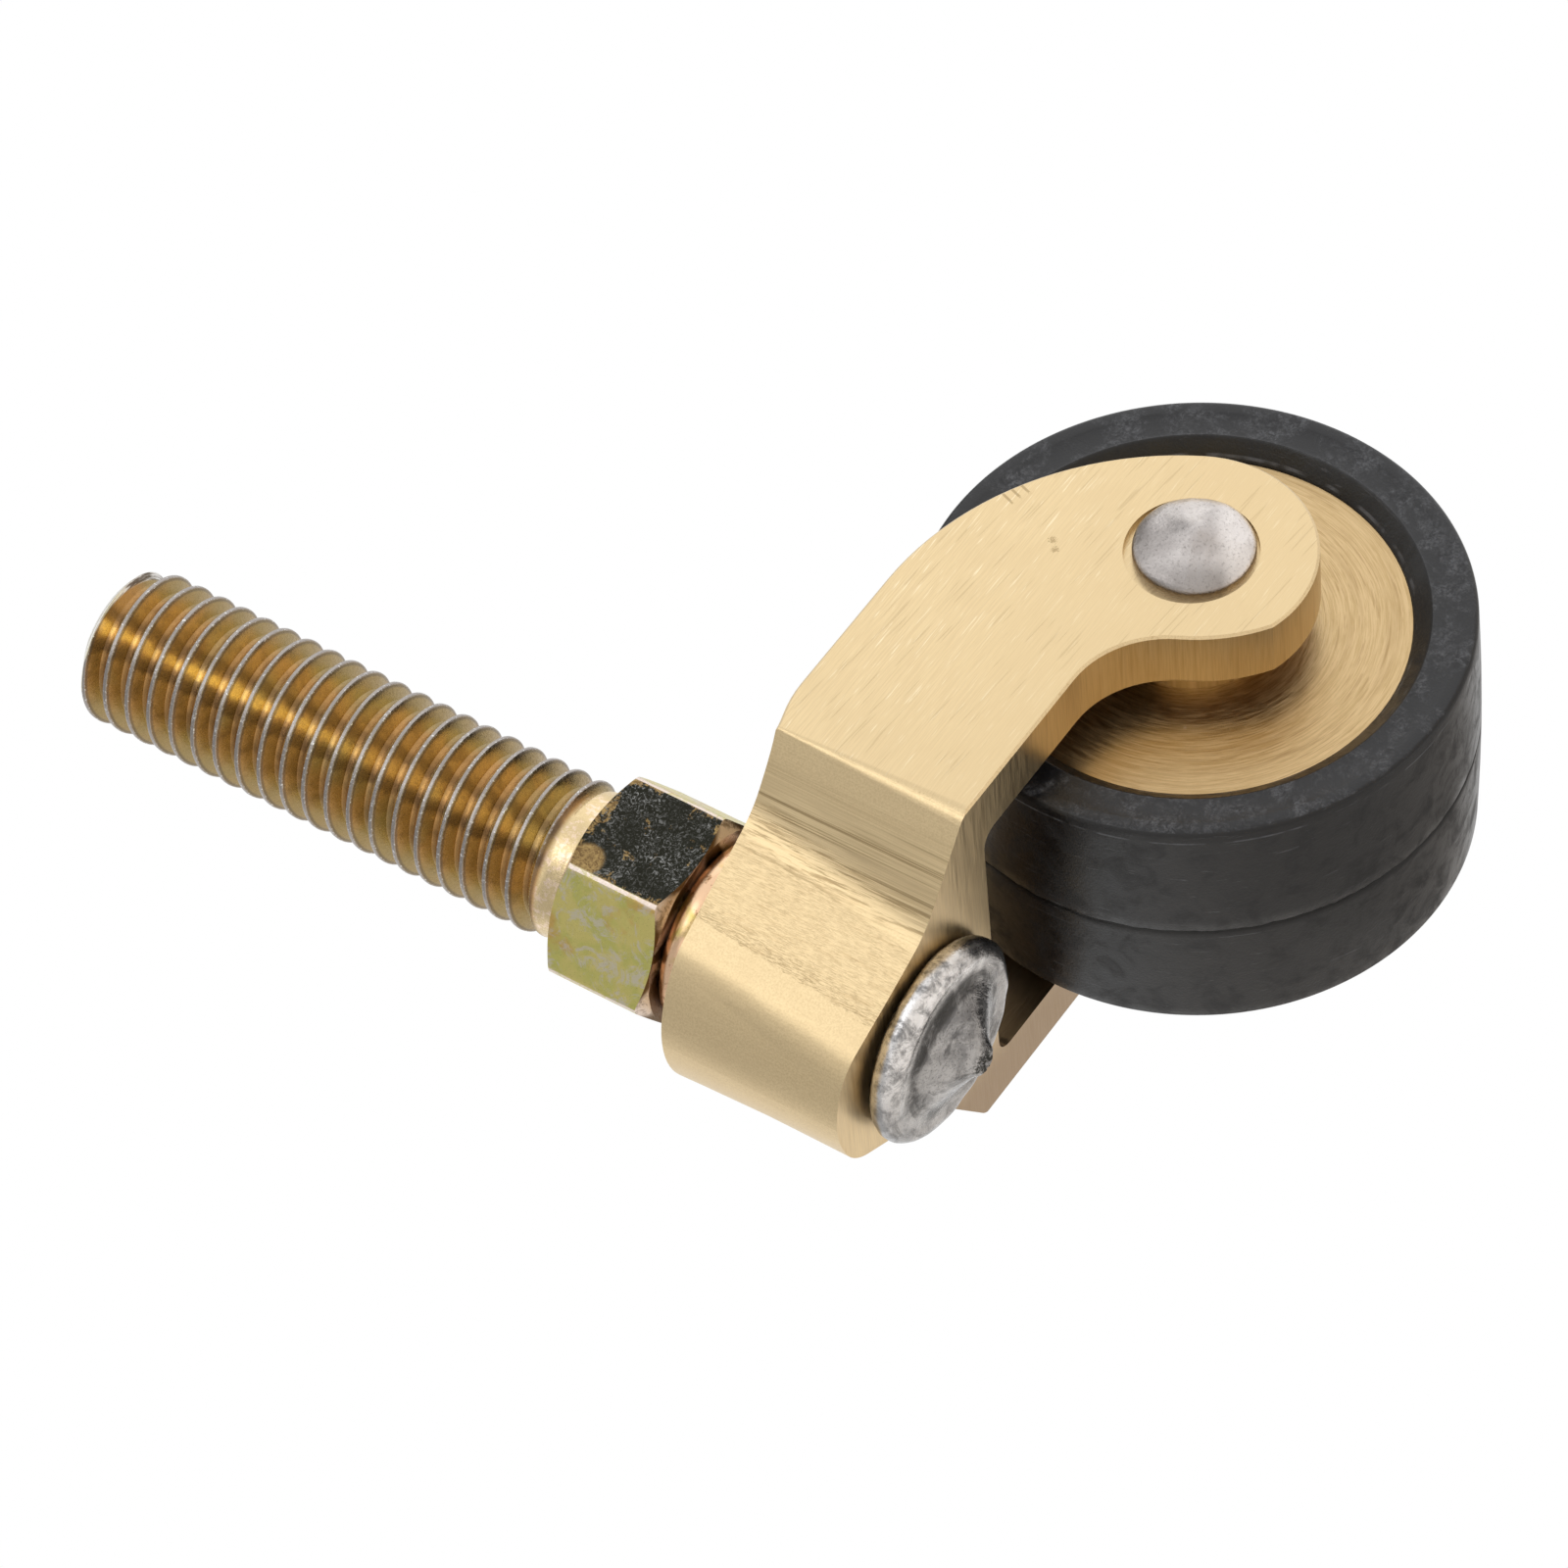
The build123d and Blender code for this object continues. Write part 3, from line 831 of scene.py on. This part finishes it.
discBrass = {
    "axle": (-22.3, 0.0, -19.31),
    "pale": (0.66, 0.485, 0.265),
    "middle": (0.47, 0.33, 0.16),
    "deep": (0.34, 0.22, 0.10),
    "nick": (5.5, 5.9, -2.9),  # from the axle
    "nickColour": (0.95, 0.85, 0.70),
    "ringDrift": 0.35,  # how much the turned rings change on the way round
    "reliefDepth": 0.018,
}


def makeDiscBrass():
    finish, tree, shader = newFinish("turnedDiscBrass")
    spot = millimetres(tree, discBrass["axle"])
    x, _, z = splitAxes(tree, spot)
    radius, (ax, _, az) = roundAxis(tree, x, 0.0, z)
    drift = discBrass["ringDrift"]
    rings = joinAxes(tree, radius, times(tree, ax, drift), times(tree, az, drift))
    fine = cloud(tree, rings, 13.0, 3.0, 0.7)
    broad = cloud(tree, rings, 3.2, 2.0, 0.5)
    lines = cloud(tree, rings, 7.0, 3.0, 0.75)
    nick = vectorCalc(tree, "DISTANCE", spot, discBrass["nick"], out="Value")
    colour = mixColour(tree, step(tree, fine, 0.33, 0.66), discBrass["middle"], discBrass["pale"])
    colour = mixColour(tree, step(tree, broad, 0.52, 0.75, 0.0, 0.3), colour, discBrass["deep"])
    colour = mixColour(tree, step(tree, lines, 0.56, 0.64, 0.0, 0.5), colour, discBrass["deep"])
    colour = mixColour(tree, step(tree, nick, 0.22, 0.10, 0.0, 0.8), colour, discBrass["nickColour"])
    height = scaledOnto(tree, broad, 0.7, fine)
    roughness = step(tree, fine, 0.3, 0.7, 0.28, 0.44)
    wire(tree, shader, colour, height, 0.35, discBrass["reliefDepth"], roughness)
    return finish


# rubber

rubber = {
    "black": (0.009, 0.009, 0.010),
    "face": (0.014, 0.014, 0.016),
    "dust": (0.130, 0.133, 0.144),
    "recess": (0.010, 0.010, 0.011),
    "recessFrom": (10.9, 10.8),
    "lipRadius": 10.87,
    "line": (0.15, 0.155, 0.17),
    "lineAt": 6.12,
    "seam": (0.004, 0.004, 0.004),
    "specular": 0.45,
    "reliefDepth": 0.035,
}


def makeRubber():
    finish, tree, shader = newFinish("blackRubber", metallic=0.0)
    shader.inputs["Specular IOR Level"].default_value = rubber["specular"]
    spot = millimetres(tree, discBrass["axle"])
    x, y, z = splitAxes(tree, spot)
    radius, _ = roundAxis(tree, x, 0.0, z)
    ny = surfaceNormal(tree)[1]
    side = step(tree, calc(tree, "ABSOLUTE", ny), 0.75, 0.93)
    tread = opposite(tree, side)
    dusty = cloud(tree, spot, 0.62, 5.0, 0.68, 0.5)
    smear = cloud(tree, spot, 2.3, 4.0, 0.7, 0.8)
    grain = cloud(tree, spot, 8.0, 3.0, 0.6)
    colour = mixColour(tree, side, rubber["black"], rubber["face"])
    patch = times(tree, step(tree, dusty, 0.42, 0.66), step(tree, smear, 0.35, 0.62))
    patch = times(tree, patch, step(tree, grain, 0.36, 0.60, 0.35, 1.25), side, 0.85)
    colour = mixColour(tree, patch, colour, rubber["dust"])
    # faint scuffs round the tread
    scuff = cloud(tree, stretched(tree, spot, (0.12, 1.0, 0.12)), 3.5, 4.0, 0.75, 0.2)
    scuff = times(tree, step(tree, scuff, 0.60, 0.72), tread, 0.45)
    colour = mixColour(tree, scuff, colour, rubber["dust"])
    # the groove that the mould's halves left, and a thin light line below the face's edge
    groove = times(tree, step(tree, gapTo(tree, y, tyre["parting"]), 0.16, 0.08), tread, 0.85)
    colour = mixColour(tree, groove, colour, rubber["seam"])
    flash = step(tree, gapTo(tree, y, rubber["lineAt"]), 0.07, 0.03)
    flash = times(tree, flash, step(tree, cloud(tree, spot, 0.5, 3.0), 0.45, 0.62), 0.7)
    colour = mixColour(tree, flash, colour, rubber["line"])
    # painted shade in the recess inside the face, and the lip round it
    recess = times(tree, step(tree, radius, *rubber["recessFrom"]), side, 0.7)
    colour = mixColour(tree, recess, colour, rubber["recess"])
    lip = opposite(tree, step(tree, gapTo(tree, radius, rubber["lipRadius"]), 0.02, 0.08))
    lip = times(tree, lip, side, step(tree, cloud(tree, spot, 1.6, 3.0), 0.35, 0.6), 0.12)
    colour = mixColour(tree, lip, colour, rubber["line"])
    height = scaledOnto(tree, dusty, 1.5, scaledOnto(tree, smear, 0.6, grain))
    roughness = step(tree, dusty, 0.4, 0.7, 0.30, 0.55)
    wire(tree, shader, colour, height, 0.30, rubber["reliefDepth"], roughness)
    return finish


# plating of the stud

plating = {
    "groove": (0.43, 0.235, 0.085),
    "grooveDeep": (0.25, 0.135, 0.05),
    "grooveDarkReflection": (0.12, 0.065, 0.03),
    "grooveGoldHighlight": (0.86, 0.54, 0.16),
    "khaki": (0.34, 0.26, 0.115),
    "freeFlankHighlight": (0.86, 0.78, 0.42),
    "crest": (0.36, 0.325, 0.30),
    "crestDark": (0.10, 0.085, 0.075),
    "crestSpark": (0.88, 0.87, 0.86),
    "neck": (0.74, 0.58, 0.33),
    "neckPink": (0.90, 0.70, 0.52),
    # painted reflection bands along the stem, the gold one a painted highlight: azimuth in radians, half
    # width, strength, colour
    "reflectionBands": (
        (0.84, 0.16, 0.75, "grooveDarkReflection"), (1.30, 0.14, 0.55, "grooveDarkReflection"), (1.07, 0.12, 0.85, "grooveGoldHighlight"),
        (2.45, 0.75, 0.85, "khaki"), (-0.42, 0.75, 0.85, "khaki"),
    ),
    "highlightFrom": (7.0, 21.0),  # the gold band grows over this stretch towards the free end
    "crestFrom": (3.83, 3.89),
    "crestEdge": (3.70, 3.80),
    "turnedFrom": (25.98, 26.06),
    "neckUpTo": (0.35, 0.05),
    "reliefDepth": 0.03,
}


def makePlating():
    finish, tree, shader = newFinish("goldenPlating")
    spot = millimetres(tree)
    x, y, z = splitAxes(tree, spot)
    nz = surfaceNormal(tree)[2]
    radius, _ = roundAxis(tree, x, y, 0.0)
    stain = cloud(tree, spot, 0.9, 4.0, 0.6)
    tint = cloud(tree, spot, 0.28, 2.0, 0.5)
    sparks = cloud(tree, spot, 7.0, 3.0, 0.7)
    deep = step(tree, stain, 0.42, 0.68, 0.0, 0.8)
    colour = mixColour(tree, deep, plating["groove"], plating["grooveDeep"])
    colour = mixColour(tree, step(tree, tint, 0.48, 0.68, 0.0, 0.6), colour, plating["khaki"])
    # painted reflections in bands round the stem, darker and brighter in turn; the gold band is a painted
    # highlight
    turn = calc(tree, "ARCTAN2", y, x)
    turn = scaledOnto(tree, calc(tree, "SUBTRACT", stain, 0.5), 0.25, turn)
    highlightReach = step(tree, z, *plating["highlightFrom"], 0.18, 1.0)
    highlightReach = times(tree, highlightReach, step(tree, tint, 0.30, 0.55, 0.5, 1.0))
    for centre, width, strength, tone in plating["reflectionBands"]:
        amount = step(tree, gapTo(tree, turn, centre), width, width * 0.2, 0.0, strength)
        if tone == "grooveGoldHighlight":
            amount = times(tree, amount, highlightReach)
        colour = mixColour(tree, amount, colour, plating[tone])
    # painted highlight: flanks facing the free end are paler
    colour = mixColour(tree, step(tree, nz, 0.15, 0.45, 0.0, 0.85), colour, plating["freeFlankHighlight"])
    # worn silver crests, with a dark edge on the side towards the neck
    silver = mixColour(tree, step(tree, sparks, 0.58, 0.68), plating["crest"], plating["crestSpark"])
    uneven = scaledOnto(tree, calc(tree, "SUBTRACT", sparks, 0.5), 0.10, radius)
    crest = step(tree, uneven, *plating["crestFrom"])
    edge = times(tree, step(tree, radius, *plating["crestEdge"]), opposite(tree, crest))
    edge = times(tree, edge, step(tree, nz, 0.1, -0.2), 0.55)
    colour = mixColour(tree, edge, colour, plating["crestDark"])
    crest = times(tree, crest, step(tree, nz, 0.45, 0.15, 0.15, 1.0))
    colour = mixColour(tree, crest, colour, silver)
    # the turned end: bare, with fine rings
    rings = cloud(tree, joinAxes(tree, radius, 0.0, z), 6.0, 3.0, 0.7)
    bareEnd = mixColour(tree, step(tree, rings, 0.42, 0.60), plating["crestDark"], plating["crestSpark"])
    ended = times(tree, step(tree, z, *plating["turnedFrom"]), 0.85)
    colour = mixColour(tree, ended, colour, bareEnd)
    pink = step(tree, cloud(tree, spot, 2.4, 5.0, 0.75), 0.50, 0.60)
    rubbed = mixColour(tree, pink, plating["neck"], plating["neckPink"])
    colour = mixColour(tree, step(tree, z, *plating["neckUpTo"]), colour, rubbed)
    height = scaledOnto(tree, stain, 1.2, sparks)
    roughness = step(tree, sparks, 0.35, 0.65, 0.24, 0.40)
    wire(tree, shader, colour, height, 0.4, plating["reliefDepth"], roughness)
    return finish


# plating of the hexagon

hexPlating = {
    "olive": (0.66, 0.57, 0.20),
    "green": (0.56, 0.53, 0.16),
    "lavender": (0.64, 0.58, 0.50),
    "orange": (0.62, 0.38, 0.12),
    "black": (0.022, 0.022, 0.016),
    "greyScuff": (0.36, 0.36, 0.35),
    "gold": (0.42, 0.29, 0.12),
    "goldSpot": (2.5, 4.86, -2.35),
    "brown": (0.15, 0.09, 0.04),
    "worn": (0.82, 0.70, 0.62),
    "darkFaceMiddle": 0.34,  # x of the middle of the black face
    "darkFaceRim": (2.0, 2.75),
    "darkFaceTop": (-2.3, -1.6),
    "reliefDepth": 0.04,
}


def darkReflectionFace(tree, spot, mottle, hairs):
    # a painted dark reflection on one face, with grey hairs over it, gold left at its rims and in one round
    # spot
    x, _, z = splitAxes(tree, spot)
    scuffed = step(tree, cloud(tree, spot, 0.7, 3.0), 0.35, 0.62, 0.25, 1.0)
    strewn = times(tree, step(tree, hairs, 0.50, 0.66), scuffed)
    dark = mixColour(tree, strewn, hexPlating["black"], hexPlating["greyScuff"])
    beside = step(tree, gapTo(tree, x, hexPlating["darkFaceMiddle"]), *hexPlating["darkFaceRim"])
    rim = calc(tree, "MAXIMUM", step(tree, z, *hexPlating["darkFaceTop"]), beside)
    golden = step(tree, scaledOnto(tree, rim, 0.10, mottle), 0.60, 0.64)
    away = vectorCalc(tree, "DISTANCE", spot, hexPlating["goldSpot"], out="Value")
    away = scaledOnto(tree, hairs, 0.5, away)
    golden = calc(tree, "MAXIMUM", golden, step(tree, away, 1.25, 1.0))
    gold = mixColour(tree, step(tree, hairs, 0.4, 0.6), hexPlating["brown"], hexPlating["gold"])
    return mixColour(tree, golden, dark, gold)


def makeHexPlating():
    finish, tree, shader = newFinish("hexagonPlating")
    spot = millimetres(tree)
    nx, ny, nz = surfaceNormal(tree)
    patch = cloud(tree, spot, 0.55, 4.0, 0.6, 0.3)
    mottle = cloud(tree, spot, 0.9, 6.0, 0.75, 0.7)
    hairs = cloud(tree, spot, 3.4, 6.0, 0.8, 2.2)
    colour = mixColour(tree, step(tree, patch, 0.42, 0.60), hexPlating["olive"], hexPlating["green"])
    warm = step(tree, cloud(tree, spot, 0.42, 3.0, 0.6), 0.54, 0.66, 0.0, 0.8)
    colour = mixColour(tree, warm, colour, hexPlating["orange"])
    colour = mixColour(tree, step(tree, mottle, 0.49, 0.60, 0.0, 0.75), colour, hexPlating["lavender"])
    dark = darkReflectionFace(tree, spot, mottle, hairs)
    # painted dark reflection on the face that looks along +Y
    colour = mixColour(tree, step(tree, ny, 0.93, 0.97), colour, dark)
    # painted shade: faces sloping towards the washer are brown
    colour = mixColour(tree, step(tree, nz, -0.30, -0.42), colour, hexPlating["brown"])
    # edges rubbed bare: the ridges between the faces and the arcs of the turned ends
    turn = calc(tree, "SUBTRACT", calc(tree, "ARCTAN2", ny, nx), math.radians(hexagon["turn"]))
    ridge = calc(tree, "COSINE", times(tree, turn, 6.0))
    slope = calc(tree, "ABSOLUTE", nz)
    arc = times(tree, step(tree, slope, 0.08, 0.16), step(tree, slope, 0.34, 0.24))
    rubbed = calc(tree, "MAXIMUM", step(tree, ridge, -0.1, 0.6), arc)
    rubbed = times(tree, rubbed, step(tree, mottle, 0.38, 0.50, 0.35, 1.0))
    colour = mixColour(tree, rubbed, colour, hexPlating["worn"])
    roughness = step(tree, hairs, 0.35, 0.7, 0.26, 0.5)
    wire(tree, shader, colour, hairs, 0.45, hexPlating["reliefDepth"], roughness)
    return finish


# washer

washerPlating = {
    "green": (0.58, 0.46, 0.15),
    "copper": (0.90, 0.60, 0.38),
    "brown": (0.34, 0.18, 0.08),
    "roughness": 0.26,
    "reliefDepth": 0.03,
}


def makeWasherPlating():
    finish, tree, shader = newFinish("washerPlating", roughness=washerPlating["roughness"])
    spot = millimetres(tree)
    patch = cloud(tree, spot, 0.45, 3.0, 0.6)
    spots = cloud(tree, spot, 2.0, 4.0, 0.65)
    colour = mixColour(tree, step(tree, patch, 0.36, 0.50), washerPlating["green"], washerPlating["copper"])
    colour = mixColour(tree, step(tree, spots, 0.58, 0.70), colour, washerPlating["brown"])
    wire(tree, shader, colour, spots, 0.3, washerPlating["reliefDepth"])
    return finish


# bare steel of the riveted head

headSteel = {
    "pale": (0.46, 0.45, 0.445),
    "middle": (0.24, 0.235, 0.235),
    "dark": (0.05, 0.048, 0.046),
    "bright": (0.88, 0.86, 0.85),
    "pit": (0.035, 0.035, 0.03),
    "hollowAt": 3.35,
    "crescentShadeAt": 3.15,
    "rimFrom": (3.60, 4.05),
    "pipUpTo": (0.95, 0.6),
    "highlightSide": (0.35, 0.94),  # the rim's bright side, as a direction in X and Y
    "swirlDrift": 0.9,
    "reliefDepth": 0.06,
}


def makeHeadSteel():
    finish, tree, shader = newFinish("headSteel")
    spot = millimetres(tree)
    x, y, _ = splitAxes(tree, spot)
    radius, (ax, ay, _) = roundAxis(tree, x, y, 0.0)
    drift = headSteel["swirlDrift"]
    swirl = joinAxes(tree, radius, times(tree, ax, drift), times(tree, ay, drift))
    smeared = cloud(tree, swirl, 1.7, 5.0, 0.7, 0.4)
    patch = cloud(tree, spot, 0.7, 4.0, 0.65, 0.5)
    grain = cloud(tree, spot, 8.0, 4.0, 0.7)
    colour = mixColour(tree, step(tree, patch, 0.36, 0.62), headSteel["middle"], headSteel["pale"])
    colour = mixColour(tree, step(tree, smeared, 0.50, 0.66, 0.0, 0.6), colour, headSteel["dark"])
    hollow = opposite(tree, step(tree, gapTo(tree, radius, headSteel["hollowAt"]), 0.1, 0.55))
    hollow = times(tree, hollow, step(tree, patch, 0.62, 0.40, 0.15, 0.85))
    colour = mixColour(tree, hollow, colour, headSteel["dark"])
    colour = mixColour(tree, step(tree, grain, 0.50, 0.72, 0.0, 0.6), colour, headSteel["dark"])
    # the rolled rim, with a painted highlight on one side, and a painted shade crescent inside it on that
    # side
    highlightX, highlightY = headSteel["highlightSide"]
    rubbed = calc(tree, "ADD", times(tree, ax, highlightX), times(tree, ay, highlightY))
    rim = times(tree, step(tree, radius, *headSteel["rimFrom"]), step(tree, rubbed, 0.1, 0.9, 0.08, 0.90))
    nicks = step(tree, cloud(tree, spot, 1.6, 6.0, 0.72, 0.3), 0.40, 0.66)
    colour = mixColour(tree, rim, colour, mixColour(tree, nicks, headSteel["bright"], headSteel["middle"]))
    crescentShade = opposite(tree, step(tree, gapTo(tree, radius, headSteel["crescentShadeAt"]), 0.15, 0.5))
    uneven = step(tree, smeared, 0.36, 0.56, 0.15, 1.0)
    crescentShade = times(tree, crescentShade, step(tree, rubbed, 0.0, 0.8), uneven, 0.80)
    colour = mixColour(tree, crescentShade, colour, headSteel["dark"])
    pits = step(tree, cloud(tree, spot, 3.5, 4.0, 0.7), 0.42, 0.55)
    pits = times(tree, step(tree, radius, *headSteel["pipUpTo"]), pits)
    colour = mixColour(tree, pits, colour, headSteel["pit"])
    height = scaledOnto(tree, patch, 1.5, times(tree, grain, 0.3))
    height = scaledOnto(tree, smeared, 2.0, height)
    roughness = step(tree, smeared, 0.35, 0.65, 0.14, 0.34)
    wire(tree, shader, colour, height, 0.5, headSteel["reliefDepth"], roughness)
    return finish


# bare steel of the axle rivet

rivetSteel = {
    "middle": (0.48, 0.445, 0.43),
    "pale": (0.66, 0.62, 0.60),
    "bright": (0.85, 0.80, 0.77),
    "dull": (0.26, 0.235, 0.22),
    "low": (0.22, 0.20, 0.19),
    "pit": (0.12, 0.11, 0.10),
    "roughness": 0.30,
    # two directions across the head in X and Z, for painted shade and a painted highlight, each with the
    # distance at which it crosses the middle
    "towardsLowShade": (0.86, -0.51, 9.55),
    "towardsShadeAndHighlight": (0.555, 0.83, 28.5),
    "reliefDepth": 0.05,
}


def acrossHead(tree, x, z, direction, patch):
    # how far across the head, made uneven by the patches
    alongX, alongZ, middle = direction
    across = scaledOnto(tree, x, alongX, middle)
    across = scaledOnto(tree, z, alongZ, across)
    return scaledOnto(tree, patch, 1.5, across)


def makeRivetSteel():
    finish, tree, shader = newFinish("rivetSteel", roughness=rivetSteel["roughness"])
    spot = millimetres(tree)
    x, _, z = splitAxes(tree, spot)
    patch = cloud(tree, spot, 0.55, 5.0, 0.65, 0.4)
    grain = cloud(tree, spot, 7.0, 4.0, 0.7)
    low = acrossHead(tree, x, z, rivetSteel["towardsLowShade"], patch)
    beside = acrossHead(tree, x, z, rivetSteel["towardsShadeAndHighlight"], patch)
    colour = mixColour(tree, step(tree, patch, 0.36, 0.66), rivetSteel["middle"], rivetSteel["pale"])
    # painted shade on the low rim and on one side, and a painted highlight on the other side
    colour = mixColour(tree, step(tree, low, 1.9, 3.2, 0.0, 0.65), colour, rivetSteel["low"])
    colour = mixColour(tree, step(tree, beside, 1.6, 3.4, 0.0, 0.45), colour, rivetSteel["dull"])
    colour = mixColour(tree, step(tree, beside, -0.2, -1.0, 0.0, 0.55), colour, rivetSteel["bright"])
    colour = mixColour(tree, step(tree, grain, 0.50, 0.75, 0.0, 0.55), colour, rivetSteel["pit"])
    wire(tree, shader, colour, scaledOnto(tree, patch, 2.5, grain), 0.5, rivetSteel["reliefDepth"])
    return finish


# finishes onto pieces

finishPiece(studPiece, "stem", makePlating(), "stem")
finishPiece(hexagonPiece, "stem", makeHexPlating(), "stem")
finishPiece(headPiece, "stem", makeHeadSteel(), "stem")
finishPiece(rivetPiece, "fork", makeRivetSteel(), "axle_rivet")
finishPiece(tyrePiece, "wheel", makeRubber(), "tyre")
for nodeName, finish in (
    ("fork", makeForkBrass()), ("wheel_centre", makeDiscBrass()), ("swivel_washer", makeWasherPlating()),
):
    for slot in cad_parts[nodeName].material_slots:
        slot.material = finish
print("finishes applied")

bpy.context.scene.view_settings.view_transform = "Standard"
